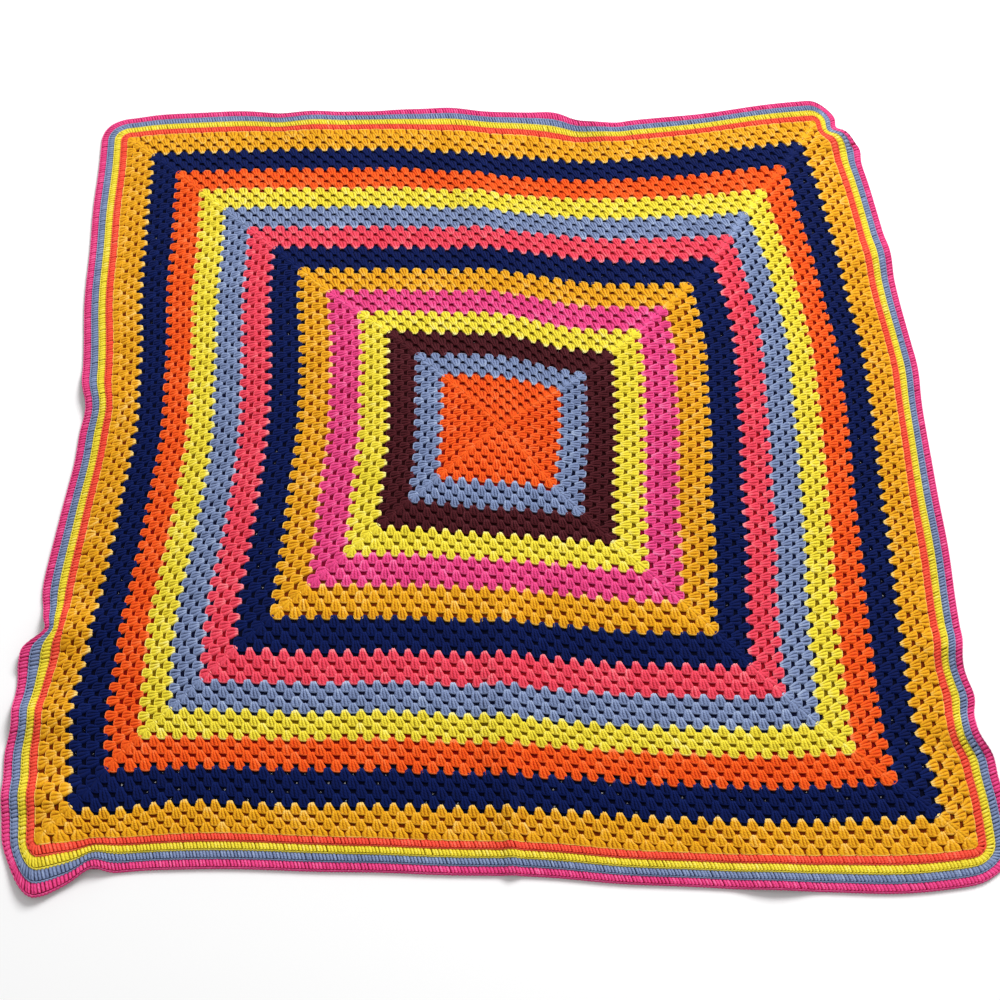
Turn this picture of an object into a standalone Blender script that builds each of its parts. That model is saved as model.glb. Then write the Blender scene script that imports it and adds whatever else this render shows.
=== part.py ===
"""A crochet afghan: one large granny square with a four-round border, laid out flat.

Metres, +Z up. The cloth is worked in square rounds from the middle out, so a place on it is given by
how far across and along the finished square it lies. The pulls below move the square's rounds sideways
to where they lie on the surface, and the folds lift the cloth off it.
"""

import math

import bmesh
import bpy
import numpy as np

# Stitch counts and gauge
GRANNY_ROUNDS = 57
GRANNY_ROUND_HEIGHT = 0.010
BORDER_ROUNDS = 4
BORDER_ROUND_HEIGHT = 0.0105

# The cloth's thickness, on the granny rounds, on a border round's ridge and in the groove beside it
GRANNY_THICKNESS = 0.0050
RIDGE_THICKNESS = 0.0052
GROOVE_THICKNESS = 0.0036

GRANNY_HALF = GRANNY_ROUNDS * GRANNY_ROUND_HEIGHT
BORDER_WIDTH = BORDER_ROUNDS * BORDER_ROUND_HEIGHT
CLOTH_HALF = GRANNY_HALF + BORDER_WIDTH

# The corner of a granny round is nearly square, and each border round swings wider around it
GRANNY_CORNER_RADIUS = 0.006
CORNER_SHARE_OF_ROUND = 0.3

# Cells across the granny rounds, and steps across one border round
GRANNY_CELLS = 44
STEPS_IN_BORDER_ROUND = 2

# Sideways pulls on the cloth in millimetres: each is strongest at x, y and fades out over its reach
PULL_COLUMNS = ("what", "x", "y", "reach_x", "reach_y", "shift_x", "shift_y")
PULLS = (
    ("top rows slide left", 50, 640, 600, 170, -34, 0),
    ("middle rows slide right", 0, 90, 600, 140, 12, 0),
    ("lower rows slide left", 0, -360, 600, 120, -8, 0),
    ("middle of the left edge draws in", -620, -40, 110, 180, 18, 0),
    ("crease draws rows down", 200, 250, 110, 210, -2, -24),
    ("crease draws rows left", 130, -60, 90, 200, -14, 0),
    ("rows left of the crease rise", -110, -90, 150, 150, 0, 20),
    ("left side sags", -680, 300, 130, 300, 0, -28),
    ("top right corner spreads", 620, 640, 140, 170, -14, 50),
    ("middle of the top edge rises", -110, 640, 150, 110, 0, 14),
    ("right side sags", 400, -20, 150, 320, 4, -14),
    ("right side bows out", 480, 180, 150, 170, 11, 0),
    ("bottom right sags", 430, -620, 190, 150, 0, -22),
    ("bottom left corner draws in", -600, -620, 150, 120, 22, 0),
    ("bottom left rows rise", -330, -420, 140, 180, 0, 8),
    ("bottom right corner draws out", 620, -600, 120, 120, 12, 0),
    ("top edge dips", 180, 640, 50, 70, 0, -14),
    ("top right edge kinks", 615, 600, 30, 26, -20, 0),
    ("left edge steps out", -640, -380, 60, 60, -12, 0),
    ("right edge pinches", 650, -400, 50, 40, -12, 0),
    ("right edge steps out", 650, -520, 50, 70, 8, 0),
    ("bottom left corner droops", -580, -650, 55, 50, 0, -24),
    ("right upper rows spread up", 230, 350, 170, 85, 0, 10),
    ("left upper rows spread up", -160, 370, 170, 95, 0, 5),
    ("crease lifts the rows left of it", -10, 150, 45, 110, 0, 5),
    ("crease lowers the rows right of it", 105, 150, 45, 90, 0, -8),
    ("top rows dip in the middle", 40, 500, 80, 60, 0, -8),
    ("top right rows rise", 430, 530, 120, 90, 0, 8),
    ("top edge dips on the left", -300, 620, 50, 45, 0, -9),
    ("top edge rises beside its dip", 110, 620, 60, 45, 0, 9),
    ("left lower rows spread down", -280, -370, 130, 65, 0, -13),
    ("middle lower rows spread down", 0, -350, 130, 60, 0, -8),
    ("right lower rows spread down", 240, -370, 130, 85, 0, -15),
    ("bottom rows sag", 120, -540, 200, 50, 0, -8),
    ("bottom rows sag on the left", -220, -530, 110, 30, 0, -4),
    ("upper rows spread right", 340, 230, 85, 110, 15, 0),
    ("lower rows spread right", 360, -150, 110, 170, 9, 0),
    ("right edge draws out, top", 600, 460, 90, 110, 16, 0),
    ("right edge draws out, bottom", 600, -260, 90, 180, 8, 0),
    ("upper rows spread left", -360, 220, 90, 120, -14, 0),
    ("middle rows spread left", -350, 20, 90, 130, -3, 0),
    ("lower rows spread left", -370, -300, 80, 110, -10, 0),
    ("left edge draws out, top", -600, 260, 90, 150, -7, 0),
    ("left edge notches in", -620, -340, 60, 60, 15, 0),
    ("left edge draws out, bottom", -600, -520, 90, 80, -9, 0),
    ("inner rows draw in, left", -170, -60, 60, 120, 6, 0),
    ("inner rows draw out, right", 120, 50, 60, 80, 4, 0),
    ("left edge notches in sharply", -618, -286, 22, 20, 9, 0),
    ("left edge juts out below the notch", -618, -346, 22, 17, -9, 0),
    ("left edge dips in again", -620, -428, 45, 16, 7, 0),
    ("left edge draws in by its upper ripple", -620, 56, 45, 22, 8, 0),
    ("left edge draws in a little above the middle", -620, -30, 45, 45, 3, 0),
    ("left bottom corner draws in", -625, -595, 40, 20, 6, 0),
    ("right edge steps in", 620, -440, 40, 15, -6, 0),
    ("right edge juts out", 620, -388, 40, 15, 8, 0),
    ("right edge notches in", 620, -331, 40, 17, -6, 0),
    ("right edge bows out above the middle", 620, 118, 45, 30, 4, 0),
    ("right edge draws in at the middle", 620, 0, 45, 45, -3, 0),
    ("top right corner juts out", 625, 515, 35, 14, 9, 0),
    ("top right corner notches in", 625, 552, 35, 13, -13, 0),
    ("bottom left corner hangs", -572, -625, 20, 40, 0, -8),
    ("bottom left edge tucks up", -502, -625, 13, 34, 0, 10),
    ("bottom left edge rises", -450, -620, 45, 30, 0, 3),
    ("bottom edge hangs right of the crease", 150, -620, 110, 40, 0, -3),
    ("bottom edge hangs on the right", 470, -620, 50, 40, 0, -4),
    ("bottom right corner rises", 590, -625, 18, 34, 0, 5),
    ("top left corner dips", -572, 620, 28, 40, 0, -7),
    ("top edge curls down", -240, 632, 50, 16, 0, -7),
    ("top edge rises in the middle", -35, 620, 30, 34, 0, 7),
    ("top edge bulges", 140, 632, 26, 26, 0, 13),
    ("top edge dips beside its bulge", 214, 620, 20, 34, 0, -5),
    ("navy rows dip at the bottom left", -495, -528, 55, 24, 0, -10),
    ("lower navy rows dip on the left", -300, -528, 60, 20, 0, -4),
    ("rows draw out at the lower left", -530, -395, 30, 60, -8, 0),
    ("rows draw out at the lower right", 530, -500, 36, 45, 9, 0),
    ("middle rows sag below the centre", -30, -130, 70, 45, 0, -6),
    ("blue grey rows sag below the middle", 150, -410, 150, 22, 0, -4),
    ("top edge rises on the left", -385, 620, 50, 40, 0, 4),
    ("top edge dips left of the middle", -165, 625, 28, 22, 0, -5),
    ("top edge bulges more", 142, 632, 24, 26, 0, 5),
    ("right edge juts out below its step", 620, -462, 40, 13, 6, 0),
    ("top right corner notches sharply", 625, 538, 30, 10, -8, 0),
    ("top right corner fills out", 605, 600, 24, 24, 6, 0),
    ("bottom left edge hangs a little", -555, -625, 20, 34, 0, -4),
    ("left edge kinks in", -618, -302, 18, 9, 9, 0),
    ("left edge kinks out", -618, -325, 18, 9, -7, 0),
)

# Folds that stand off the surface: heading is the way the crest runs, in degrees from +X towards +Y,
# and the sizes are in millimetres
FOLD_COLUMNS = ("what", "x", "y", "heading", "half_length", "half_width", "height")
FOLDS = (
    ("centre crease, top", -25, 430, 96, 240, 55, 8),
    ("centre crease, bottom", 4, -400, 88, 230, 44, 12),
    ("centre crease, sharp end", 12, -550, 90, 120, 16, 9),
    ("soft swell left of the middle", -170, 60, 85, 210, 70, 6),
    ("soft swell right of the middle", 290, -60, 95, 240, 80, 6),
    ("left edge, upper ripple", -600, 60, 175, 120, 55, 9),
    ("left edge, middle ripple", -590, -300, 8, 150, 38, 12),
    ("left edge, lower ripple", -590, -420, 4, 140, 36, 11),
    ("left edge, last ripple", -580, -520, 0, 110, 30, 8),
    ("right edge, upper ripple", 630, 330, 10, 110, 50, 8),
    ("right edge, middle ripple", 630, -330, 172, 130, 36, 10),
    ("right edge, lower ripple", 640, -450, 168, 120, 34, 12),
    ("top edge, left ripple", -300, 620, 95, 100, 60, 7),
    ("top edge, right ripple", 170, 620, 100, 120, 45, 11),
    ("top right corner ripple", 600, 590, 35, 110, 30, 14),
    ("left edge, kink ripple", -590, -330, 25, 90, 22, 9),
    ("bottom left corner tilt", -548, -590, 84, 130, 45, 10),
    ("bottom left corner tuck", -490, -610, 55, 80, 28, 8),
    ("bottom edge, right ripple", 330, -630, 92, 90, 60, 6),
)

YARN_COLOUR = (0.72, 0.22, 0.02, 1.0)
YARN_ROUGHNESS = 0.9

METRES_PER_MM = 0.001
TINY = 1e-6


def rows_of(columns, rows):
    """A table's rows as dictionaries, by the names of its columns."""
    return [dict(zip(columns, row)) for row in rows]


def clear_scene():
    for old in list(bpy.data.objects):
        bpy.data.objects.remove(old, do_unlink=True)


def corner_radius(reach):
    """The radius at the corners of the square round that lies this far from the middle."""
    beyond_granny = np.maximum(0.0, reach - GRANNY_HALF)
    return np.minimum(CORNER_SHARE_OF_ROUND * reach, GRANNY_CORNER_RADIUS + beyond_granny)


def round_corners(across, along):
    """Points on sharp square rounds moved along their own round onto rounds with arcs at the corners."""
    reach = np.maximum(np.abs(across), np.abs(along))
    on_side = np.abs(across) >= np.abs(along)
    beside = np.where(on_side, along, across)
    radius = corner_radius(reach)
    straight = reach - radius
    half_side = straight + radius * math.pi / 4
    run = np.abs(beside) / np.maximum(reach, TINY) * half_side
    turn = np.maximum(0.0, run - straight) / np.maximum(radius, TINY)
    on_straight = run <= straight
    out = np.where(on_straight, reach, straight + radius * np.cos(turn))
    side = np.where(on_straight, run, straight + radius * np.sin(turn)) * np.sign(beside)
    return (
        np.where(on_side, out * np.sign(across), side),
        np.where(on_side, side, out * np.sign(along)),
    )


def pulled(x, y):
    """Where the pulls leave the points x, y of the square."""
    shift_x = np.zeros_like(x)
    shift_y = np.zeros_like(y)
    for pull in rows_of(PULL_COLUMNS, PULLS):
        off_x = (x / METRES_PER_MM - pull["x"]) / pull["reach_x"]
        off_y = (y / METRES_PER_MM - pull["y"]) / pull["reach_y"]
        strength = np.exp(-(off_x**2 + off_y**2) / 2)
        shift_x += pull["shift_x"] * METRES_PER_MM * strength
        shift_y += pull["shift_y"] * METRES_PER_MM * strength
    return x + shift_x, y + shift_y


def lift(x, y):
    """How far the folds raise the cloth's underside at x, y on the surface: nothing outside a fold."""
    height = np.zeros_like(x)
    for fold in rows_of(FOLD_COLUMNS, FOLDS):
        heading = math.radians(fold["heading"])
        off_x = x / METRES_PER_MM - fold["x"]
        off_y = y / METRES_PER_MM - fold["y"]
        lengthwise = (off_x * math.cos(heading) + off_y * math.sin(heading)) / fold["half_length"]
        crosswise = (off_y * math.cos(heading) - off_x * math.sin(heading)) / fold["half_width"]
        inside = (np.abs(lengthwise) < 1) & (np.abs(crosswise) < 1)
        crest = np.cos(math.pi / 2 * lengthwise) ** 2 * np.cos(math.pi / 2 * crosswise) ** 2
        height += np.where(inside, fold["height"] * METRES_PER_MM * crest, 0.0)
    return height


def thickness(reach):
    """The cloth's thickness by distance from the middle: ridges and grooves alternate in the border."""
    rounds_out = (reach - GRANNY_HALF) / BORDER_ROUND_HEIGHT
    ridge = np.sin(math.pi * np.clip(rounds_out, 0, BORDER_ROUNDS)) ** 2
    border = GROOVE_THICKNESS + (RIDGE_THICKNESS - GROOVE_THICKNESS) * ridge
    return np.where(reach < GRANNY_HALF - TINY, GRANNY_THICKNESS, border)


def grid_lines():
    """The grid's lines across the square: even over the granny rounds, one for each ridge and groove beyond."""
    granny = np.linspace(-GRANNY_HALF, GRANNY_HALF, GRANNY_CELLS + 1)
    steps = BORDER_ROUNDS * STEPS_IN_BORDER_ROUND
    border = np.linspace(GRANNY_HALF, CLOTH_HALF, steps + 1)[1:]
    return np.concatenate([-border[::-1], granny, border])


def cloth_points():
    """The grid of points on the underside and on the top, centred on the cloth's own outline."""
    lines = grid_lines()
    across, along = np.meshgrid(lines, lines, indexing="ij")
    x, y = pulled(*round_corners(across, along))
    centre_x = (x.min() + x.max()) / 2
    centre_y = (y.min() + y.max()) / 2
    under = lift(x, y)
    over = under + thickness(np.maximum(np.abs(across), np.abs(along)))
    x -= centre_x
    y -= centre_y
    return np.stack([x, y, under], axis=-1), np.stack([x, y, over], axis=-1)


def add_cell(mesh, grid, i, j, upwards):
    """Two triangles over one cell, parted along the line towards the middle of the square."""
    middle = (len(grid) - 1) / 2
    corners = [grid[i][j], grid[i + 1][j], grid[i + 1][j + 1], grid[i][j + 1]]
    same_sign = (i + 0.5 - middle) * (j + 0.5 - middle) > 0
    order = ((0, 1, 2), (0, 2, 3)) if same_sign else ((0, 1, 3), (1, 2, 3))
    for triple in order:
        face = [corners[k] for k in triple]
        mesh.faces.new(face if upwards else face[::-1])


def close_rim(mesh, under, over):
    """A strip of faces around the outer edge, from the underside to the top."""
    last = len(under) - 1
    rim = [(i, 0) for i in range(last)]
    rim += [(last, j) for j in range(last)]
    rim += [(i, last) for i in range(last, 0, -1)]
    rim += [(0, j) for j in range(last, 0, -1)]
    for (i, j), (k, m) in zip(rim, rim[1:] + rim[:1]):
        mesh.faces.new([under[i][j], under[k][m], over[k][m]])
        mesh.faces.new([under[i][j], over[k][m], over[i][j]])


def yarn_material():
    material = bpy.data.materials.new("wool_yarn")
    material.use_nodes = True
    shader = material.node_tree.nodes["Principled BSDF"]
    shader.inputs["Base Color"].default_value = YARN_COLOUR
    shader.inputs["Roughness"].default_value = YARN_ROUGHNESS
    shader.inputs["Metallic"].default_value = 0.0
    material.diffuse_color = YARN_COLOUR
    return material


def make_afghan():
    under_points, over_points = cloth_points()
    mesh = bmesh.new()
    under = [[mesh.verts.new(point) for point in row] for row in under_points]
    over = [[mesh.verts.new(point) for point in row] for row in over_points]
    cells = len(under) - 1
    for i in range(cells):
        for j in range(cells):
            add_cell(mesh, under, i, j, upwards=False)
            add_cell(mesh, over, i, j, upwards=True)
    close_rim(mesh, under, over)
    data = bpy.data.meshes.new("afghan")
    mesh.to_mesh(data)
    mesh.free()
    data.shade_smooth()
    data.set_sharp_from_angle(angle=math.radians(50))
    data.materials.append(yarn_material())
    afghan = bpy.data.objects.new("afghan", data)
    bpy.context.scene.collection.objects.link(afghan)
    return afghan


clear_scene()
make_afghan()
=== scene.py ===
import math

import bpy
import numpy as np
from mathutils import Matrix, Vector


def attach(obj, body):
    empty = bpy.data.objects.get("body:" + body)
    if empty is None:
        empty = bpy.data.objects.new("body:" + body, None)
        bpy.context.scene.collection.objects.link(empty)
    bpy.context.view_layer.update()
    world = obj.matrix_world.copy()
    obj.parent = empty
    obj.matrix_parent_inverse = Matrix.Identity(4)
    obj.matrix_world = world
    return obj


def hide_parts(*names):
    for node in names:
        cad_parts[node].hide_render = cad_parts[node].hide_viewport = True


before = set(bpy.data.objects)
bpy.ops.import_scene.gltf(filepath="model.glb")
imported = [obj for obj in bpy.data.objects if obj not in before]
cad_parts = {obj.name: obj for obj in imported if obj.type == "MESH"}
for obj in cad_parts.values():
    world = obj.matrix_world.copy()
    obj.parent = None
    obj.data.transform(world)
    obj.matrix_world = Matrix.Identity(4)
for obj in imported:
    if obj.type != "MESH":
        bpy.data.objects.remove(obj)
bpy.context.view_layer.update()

# Stitch counts and row heights, as in the part's source, and the width of a cluster and a border stitch
GRANNY_ROUNDS = 57
GRANNY_ROUND_HEIGHT = 0.010
BORDER_ROUNDS = 4
BORDER_ROUND_HEIGHT = 0.0105
CLUSTER_PITCH = 0.020
BORDER_STITCH_PITCH = 0.0043

GRANNY_HALF = GRANNY_ROUNDS * GRANNY_ROUND_HEIGHT
BORDER_WIDTH = BORDER_ROUNDS * BORDER_ROUND_HEIGHT
CLOTH_HALF = GRANNY_HALF + BORDER_WIDTH
GRANNY_CORNER_RADIUS = 0.006
CORNER_SHARE_OF_ROUND = 0.3
BORDER_STRAIGHT = GRANNY_HALF - GRANNY_CORNER_RADIUS
GRANNY_CELLS = 44
STEPS_IN_BORDER_ROUND = 2

MM = 0.001
ROUND = GRANNY_ROUND_HEIGHT / MM
TINY = 1e-6
SIDES = 4
SEED = 57

# Sideways pulls on the cloth in millimetres, as in the part's source
PULL_COLUMNS = ("what", "x", "y", "reach_x", "reach_y", "shift_x", "shift_y")
PULLS = (
    ("top rows slide left", 50, 640, 600, 170, -34, 0),
    ("middle rows slide right", 0, 90, 600, 140, 12, 0),
    ("lower rows slide left", 0, -360, 600, 120, -8, 0),
    ("middle of the left edge draws in", -620, -40, 110, 180, 18, 0),
    ("crease draws rows down", 200, 250, 110, 210, -2, -24),
    ("crease draws rows left", 130, -60, 90, 200, -14, 0),
    ("rows left of the crease rise", -110, -90, 150, 150, 0, 20),
    ("left side sags", -680, 300, 130, 300, 0, -28),
    ("top right corner spreads", 620, 640, 140, 170, -14, 50),
    ("middle of the top edge rises", -110, 640, 150, 110, 0, 14),
    ("right side sags", 400, -20, 150, 320, 4, -14),
    ("right side bows out", 480, 180, 150, 170, 11, 0),
    ("bottom right sags", 430, -620, 190, 150, 0, -22),
    ("bottom left corner draws in", -600, -620, 150, 120, 22, 0),
    ("bottom left rows rise", -330, -420, 140, 180, 0, 8),
    ("bottom right corner draws out", 620, -600, 120, 120, 12, 0),
    ("top edge dips", 180, 640, 50, 70, 0, -14),
    ("top right edge kinks", 615, 600, 30, 26, -20, 0),
    ("left edge steps out", -640, -380, 60, 60, -12, 0),
    ("right edge pinches", 650, -400, 50, 40, -12, 0),
    ("right edge steps out", 650, -520, 50, 70, 8, 0),
    ("bottom left corner droops", -580, -650, 55, 50, 0, -24),
    ("right upper rows spread up", 230, 350, 170, 85, 0, 10),
    ("left upper rows spread up", -160, 370, 170, 95, 0, 5),
    ("crease lifts the rows left of it", -10, 150, 45, 110, 0, 5),
    ("crease lowers the rows right of it", 105, 150, 45, 90, 0, -8),
    ("top rows dip in the middle", 40, 500, 80, 60, 0, -8),
    ("top right rows rise", 430, 530, 120, 90, 0, 8),
    ("top edge dips on the left", -300, 620, 50, 45, 0, -9),
    ("top edge rises beside its dip", 110, 620, 60, 45, 0, 9),
    ("left lower rows spread down", -280, -370, 130, 65, 0, -13),
    ("middle lower rows spread down", 0, -350, 130, 60, 0, -8),
    ("right lower rows spread down", 240, -370, 130, 85, 0, -15),
    ("bottom rows sag", 120, -540, 200, 50, 0, -8),
    ("bottom rows sag on the left", -220, -530, 110, 30, 0, -4),
    ("upper rows spread right", 340, 230, 85, 110, 15, 0),
    ("lower rows spread right", 360, -150, 110, 170, 9, 0),
    ("right edge draws out, top", 600, 460, 90, 110, 16, 0),
    ("right edge draws out, bottom", 600, -260, 90, 180, 8, 0),
    ("upper rows spread left", -360, 220, 90, 120, -14, 0),
    ("middle rows spread left", -350, 20, 90, 130, -3, 0),
    ("lower rows spread left", -370, -300, 80, 110, -10, 0),
    ("left edge draws out, top", -600, 260, 90, 150, -7, 0),
    ("left edge notches in", -620, -340, 60, 60, 15, 0),
    ("left edge draws out, bottom", -600, -520, 90, 80, -9, 0),
    ("inner rows draw in, left", -170, -60, 60, 120, 6, 0),
    ("inner rows draw out, right", 120, 50, 60, 80, 4, 0),
    ("left edge notches in sharply", -618, -286, 22, 20, 9, 0),
    ("left edge juts out below the notch", -618, -346, 22, 17, -9, 0),
    ("left edge dips in again", -620, -428, 45, 16, 7, 0),
    ("left edge draws in by its upper ripple", -620, 56, 45, 22, 8, 0),
    ("left edge draws in a little above the middle", -620, -30, 45, 45, 3, 0),
    ("left bottom corner draws in", -625, -595, 40, 20, 6, 0),
    ("right edge steps in", 620, -440, 40, 15, -6, 0),
    ("right edge juts out", 620, -388, 40, 15, 8, 0),
    ("right edge notches in", 620, -331, 40, 17, -6, 0),
    ("right edge bows out above the middle", 620, 118, 45, 30, 4, 0),
    ("right edge draws in at the middle", 620, 0, 45, 45, -3, 0),
    ("top right corner juts out", 625, 515, 35, 14, 9, 0),
    ("top right corner notches in", 625, 552, 35, 13, -13, 0),
    ("bottom left corner hangs", -572, -625, 20, 40, 0, -8),
    ("bottom left edge tucks up", -502, -625, 13, 34, 0, 10),
    ("bottom left edge rises", -450, -620, 45, 30, 0, 3),
    ("bottom edge hangs right of the crease", 150, -620, 110, 40, 0, -3),
    ("bottom edge hangs on the right", 470, -620, 50, 40, 0, -4),
    ("bottom right corner rises", 590, -625, 18, 34, 0, 5),
    ("top left corner dips", -572, 620, 28, 40, 0, -7),
    ("top edge curls down", -240, 632, 50, 16, 0, -7),
    ("top edge rises in the middle", -35, 620, 30, 34, 0, 7),
    ("top edge bulges", 140, 632, 26, 26, 0, 13),
    ("top edge dips beside its bulge", 214, 620, 20, 34, 0, -5),
    ("navy rows dip at the bottom left", -495, -528, 55, 24, 0, -10),
    ("lower navy rows dip on the left", -300, -528, 60, 20, 0, -4),
    ("rows draw out at the lower left", -530, -395, 30, 60, -8, 0),
    ("rows draw out at the lower right", 530, -500, 36, 45, 9, 0),
    ("middle rows sag below the centre", -30, -130, 70, 45, 0, -6),
    ("blue grey rows sag below the middle", 150, -410, 150, 22, 0, -4),
    ("top edge rises on the left", -385, 620, 50, 40, 0, 4),
    ("top edge dips left of the middle", -165, 625, 28, 22, 0, -5),
    ("top edge bulges more", 142, 632, 24, 26, 0, 5),
    ("right edge juts out below its step", 620, -462, 40, 13, 6, 0),
    ("top right corner notches sharply", 625, 538, 30, 10, -8, 0),
    ("top right corner fills out", 605, 600, 24, 24, 6, 0),
    ("bottom left edge hangs a little", -555, -625, 20, 34, 0, -4),
    ("left edge kinks in", -618, -302, 18, 9, 9, 0),
    ("left edge kinks out", -618, -325, 18, 9, -7, 0),
)

# Folds that stand off the surface, as in the part's source
FOLD_COLUMNS = ("what", "x", "y", "heading", "half_length", "half_width", "height")
FOLDS = (
    ("centre crease, top", -25, 430, 96, 240, 55, 8),
    ("centre crease, bottom", 4, -400, 88, 230, 44, 12),
    ("centre crease, sharp end", 12, -550, 90, 120, 16, 9),
    ("soft swell left of the middle", -170, 60, 85, 210, 70, 6),
    ("soft swell right of the middle", 290, -60, 95, 240, 80, 6),
    ("left edge, upper ripple", -600, 60, 175, 120, 55, 9),
    ("left edge, middle ripple", -590, -300, 8, 150, 38, 12),
    ("left edge, lower ripple", -590, -420, 4, 140, 36, 11),
    ("left edge, last ripple", -580, -520, 0, 110, 30, 8),
    ("right edge, upper ripple", 630, 330, 10, 110, 50, 8),
    ("right edge, middle ripple", 630, -330, 172, 130, 36, 10),
    ("right edge, lower ripple", 640, -450, 168, 120, 34, 12),
    ("top edge, left ripple", -300, 620, 95, 100, 60, 7),
    ("top edge, right ripple", 170, 620, 100, 120, 45, 11),
    ("top right corner ripple", 600, 590, 35, 110, 30, 14),
    ("left edge, kink ripple", -590, -330, 25, 90, 22, 9),
    ("bottom left corner tilt", -548, -590, 84, 130, 45, 10),
    ("bottom left corner tuck", -490, -610, 55, 80, 28, 8),
    ("bottom edge, right ripple", 330, -630, 92, 90, 60, 6),
)

# The small wander of hand-worked rows: two waves in millimetres, and for each direction the lengths of
# the waves in metres to a radian, how far the long one bends, and where they start
LONG_WANDER = 0.9
SHORT_WANDER = 0.6
WANDER_COLUMNS = ("long", "bend", "bend_length", "bend_start", "short", "short_start")
WANDER_X = (0.043, 1.3, 0.061, 0.0, 0.027, 2.0)
WANDER_Y = (0.047, 1.2, 0.055, 1.0, 0.031, 0.0)

# Yarn colours from 0 to 255: the painted shade that the dark sheet shows in the holes, the painted shade
# in the grooves between posts, the yarn's colour on the crests, and the painted highlight on the rim of a
# chain or a post's foot
YARN_COLUMNS = ("yarn", "hole", "deep", "bright", "rim")
YARNS = (
    ("orange", (132, 6, 0), (196, 24, 0), (248, 96, 26), (255, 150, 92)),
    ("blue_grey", (8, 13, 44), (36, 48, 88), (130, 146, 184), (192, 208, 234)),
    ("maroon", (38, 0, 4), (40, 0, 6), (74, 20, 28), (104, 48, 56)),
    ("yellow", (124, 98, 0), (166, 142, 0), (246, 226, 62), (255, 248, 176)),
    ("magenta", (136, 0, 44), (160, 0, 64), (238, 74, 140), (255, 158, 202)),
    ("gold", (118, 44, 0), (158, 76, 0), (240, 174, 28), (255, 226, 142)),
    ("navy", (0, 3, 30), (0, 8, 50), (0, 20, 80), (16, 38, 102)),
    ("coral", (150, 2, 20), (178, 6, 34), (242, 76, 98), (255, 156, 160)),
    ("vermilion", (170, 12, 4), (200, 26, 14), (248, 88, 66), (255, 150, 116)),
)

# Bands of granny rounds from the middle out
BAND_COLUMNS = ("piece", "yarn", "first_round", "last_round")
BANDS = (
    ("centre_orange_rounds", "orange", 1, 9),
    ("inner_blue_grey_rounds", "blue_grey", 10, 13),
    ("maroon_rounds", "maroon", 14, 17),
    ("inner_yellow_rounds", "yellow", 18, 21),
    ("magenta_rounds", "magenta", 22, 25),
    ("inner_gold_rounds", "gold", 26, 29),
    ("inner_navy_rounds", "navy", 30, 33),
    ("coral_rounds", "coral", 34, 37),
    ("outer_blue_grey_rounds", "blue_grey", 38, 41),
    ("outer_yellow_rounds", "yellow", 42, 45),
    ("outer_orange_rounds", "orange", 46, 49),
    ("outer_navy_rounds", "navy", 50, 53),
    ("outer_gold_rounds", "gold", 54, 57),
)
EDGING_COLUMNS = ("piece", "yarn")
EDGINGS = (
    ("vermilion_edging", "vermilion"),
    ("yellow_edging", "yellow"),
    ("blue_grey_edging", "blue_grey"),
    ("magenta_edging", "magenta"),
)

# One post of a cluster in millimetres, from its foot, which lies over the joint between two clusters of the
# round before, to its head. The middle post lies at 0 and reaches out; the two beside it lie at
# side_offset and reach side_out. Tone runs from 0, the deep colour, a painted shade, over 1, the bright
# one, to 1.6, the rim, a painted highlight; along a post it is highest at the foot's tip, a painted
# highlight.
# Groove says how much painted shade darkens the groove between two posts.
POST_COLUMNS = ("out", "side_out", "side_offset", "width", "top", "tone", "groove")
POST = (
    (-4.7, -4.5, 2.0, 3.4, 3.8, 1.14, 0.15),
    (-2.4, -2.2, 2.8, 3.8, 4.6, 1.06, 0.45),
    (0.8, 0.8, 3.7, 4.3, 4.7, 0.98, 0.95),
    (4.2, 4.0, 4.7, 5.0, 4.5, 0.90, 1.0),
    (7.4, 7.2, 4.7, 4.9, 4.2, 0.88, 0.7),
    (9.5, 9.1, 4.0, 4.2, 3.6, 0.94, 0.3),
)

# How many steps of a post are its foot, how far it leans over, how low its flanks reach, and how near to
# the middle of the square a stitch may start
FOOT_STEPS = 2
POST_LEAN = 2.2
POST_LOW = 1.3
LEAST_OUT = 1.0

# The chain along the head of a cluster, in millimetres
CHAIN_COLUMNS = ("across", "out", "width", "top")
CHAIN = (
    (-6.9, 4.8, 1.5, 3.4),
    (-6.8, 7.5, 1.8, 3.9),
    (-5.3, 9.2, 2.0, 4.3),
    (0.0, 9.8, 2.1, 4.5),
    (5.3, 9.2, 2.0, 4.3),
    (6.8, 7.5, 1.8, 3.9),
    (6.9, 4.8, 1.5, 3.4),
)
CHAIN_LOW = 2.2
# The chain's tone above 1 is a painted highlight along its crest; the first round's feet and the last
# round's chains are lightened more, as painted highlights on their rims
CHAIN_HIGHLIGHT_TONE = 1.14
FIRST_FOOT_HIGHLIGHT = 0.22
LAST_CHAIN_HIGHLIGHT = 0.22

# The yarn between the heads of two clusters, in millimetres: across is half its width, and a tone below 1
# paints shade between the heads
JOINT_COLUMNS = ("out", "across", "top", "tone")
JOINT = (
    (5.6, 4.2, 2.6, 0.62),
    (7.4, 4.4, 3.4, 0.74),
    (9.8, 5.0, 3.5, 0.70),
)

# The chain around the corner of a granny round, in millimetres back from the corner along both its sides
CORNER_CHAIN_COLUMNS = ("beside", "out")
CORNER_CHAIN = ((5.6, 1.0), (2.6, 1.0), (1.3, 1.3), (1.0, 2.6), (1.0, 5.6))
CORNER_CHAIN_WIDTH = 2.8
CORNER_CHAIN_TOP = 5.2
CORNER_CHAIN_TONE = 0.95

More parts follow.
